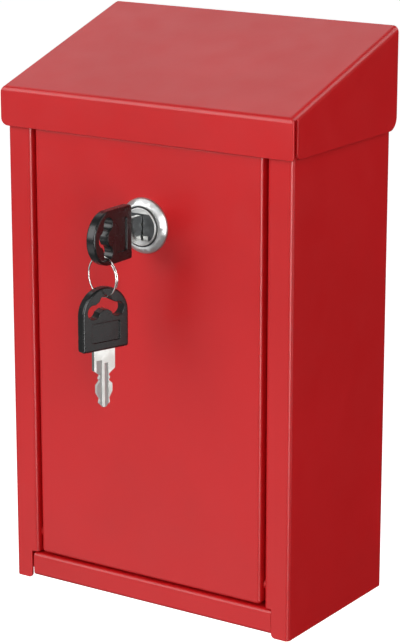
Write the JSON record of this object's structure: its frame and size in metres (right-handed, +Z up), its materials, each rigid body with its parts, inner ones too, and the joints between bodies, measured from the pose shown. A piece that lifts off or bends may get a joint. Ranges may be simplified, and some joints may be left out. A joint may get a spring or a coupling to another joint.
{
  "type": "wall-mounted donation box",
  "caption": "Red sheet-metal wall box with a hinged sloped hood over a deposit slot, a drop-down locking front door, a cam lock and a pair of keys on a ring.",
  "frame": {"origin": "middle of the four wall holes, on the wall's plane", "axes": "+Z up, -Y out of the wall towards the person who uses the box, +X to the right seen from the front"},
  "size_m": [0.1538, 0.1294, 0.2617],
  "materials": {
    "red_paint": "fine-textured red powder coat",
    "zinc": "bright zinc plating",
    "brushed_bezel": "brushed stainless",
    "plug_chrome": "satin chrome",
    "dark_zinc": "dark cast zinc",
    "brass_wafer": "stamped brass",
    "key_steel": "bright nickel plating",
    "black_plastic": "fine satin mould texture"
  },
  "bodies": {
    "box": {"body_shell": "red_paint", "bottom_pan": "red_paint", "slot_plate": "red_paint", "cam_strike": "red_paint", "hinge_leaf_body": "zinc", "hinge_pin": "zinc", "door_pivot_left": "red_paint", "door_pivot_right": "red_paint"},
    "hood": {"lid_hood": "red_paint", "hinge_leaf_lid": "zinc"},
    "door": {"door_panel": "red_paint", "lock_bezel": "brushed_bezel", "lock_housing": "dark_zinc", "lock_washer": "zinc", "lock_nut": "zinc"},
    "lock_core": {"lock_plug": "plug_chrome", "plug_insert": "dark_zinc", "lock_wafers": "brass_wafer", "stop_washer": "zinc", "lock_cam": "zinc", "cam_washer": "zinc", "cam_screw": "zinc"},
    "key": {"key_blade": "key_steel", "key_bow": "black_plastic"},
    "ring": {"key_ring": "key_steel"},
    "spare_key": {"spare_key_blade": "key_steel", "spare_key_bow": "black_plastic"}
  },
  "joints": [
    {"name": "hood_hinge", "type": "hinge", "parent": "box", "child": "hood", "pos_m": [0, -0.0065, 0.13704], "axis": [-1, 0, 0], "range_deg": [0, 105]},
    {"name": "door_hinge", "type": "hinge", "parent": "box", "child": "door", "pos_m": [0, -0.0827, -0.097], "axis": [1, 0, 0], "range_deg": [0, 130]},
    {"name": "lock_turn", "type": "hinge", "parent": "door", "child": "lock_core", "pos_m": [-0.0005, -0.0879, 0.0581], "axis": [0, 1, 0], "range_deg": [0, 90]},
    {"name": "key_pull", "type": "slide", "parent": "lock_core", "child": "key", "axis": [0, -1, 0], "range_m": [0, 0.03]},
    {"name": "ring_swing", "type": "hinge", "parent": "key", "child": "ring", "pos_m": [-0.0005, -0.11783, 0.04993], "axis": [0.9816, -0.1908, 0], "range_deg": [-45, 10]},
    {"name": "spare_key_swing", "type": "hinge", "parent": "ring", "child": "spare_key", "pos_m": [-0.0017, -0.1176, 0.03242], "axis": [0.9455, -0.3256, 0], "range_deg": [-35, 15]}
  ]
}
